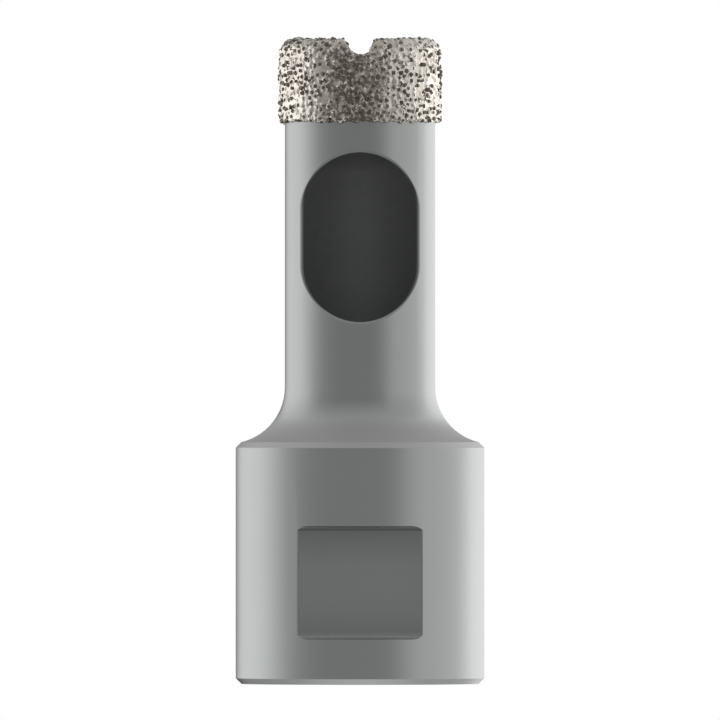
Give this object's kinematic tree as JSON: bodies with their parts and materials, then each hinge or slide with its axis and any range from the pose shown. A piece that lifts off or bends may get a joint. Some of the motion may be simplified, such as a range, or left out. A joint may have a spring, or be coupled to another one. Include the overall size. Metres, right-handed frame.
{
  "type": "diamond core bit",
  "caption": "Dry diamond core bit: steel hub with an internal spindle thread and wrench flats, a windowed core barrel, and a brazed diamond crown with dust notches.",
  "frame": {"origin": "centre of the hub's seating face, on the bit's axis", "axes": "+Z along the bit's axis from the hub to the diamond crown; the barrel's window and one wrench flat face -Y"},
  "size_m": [0.022, 0.022, 0.0572],
  "materials": {
    "turned_steel": "fine-turned bare steel, satin, with faint turning marks round the axis",
    "braze": "bright vacuum braze, lumpy where it wets the grains",
    "diamond": "dark brown diamond grains with small shiny facets"
  },
  "bodies": {
    "root": {"steel_body": "turned_steel", "braze_coat": "braze", "diamond_grit": "diamond"}
  },
  "joints": []
}
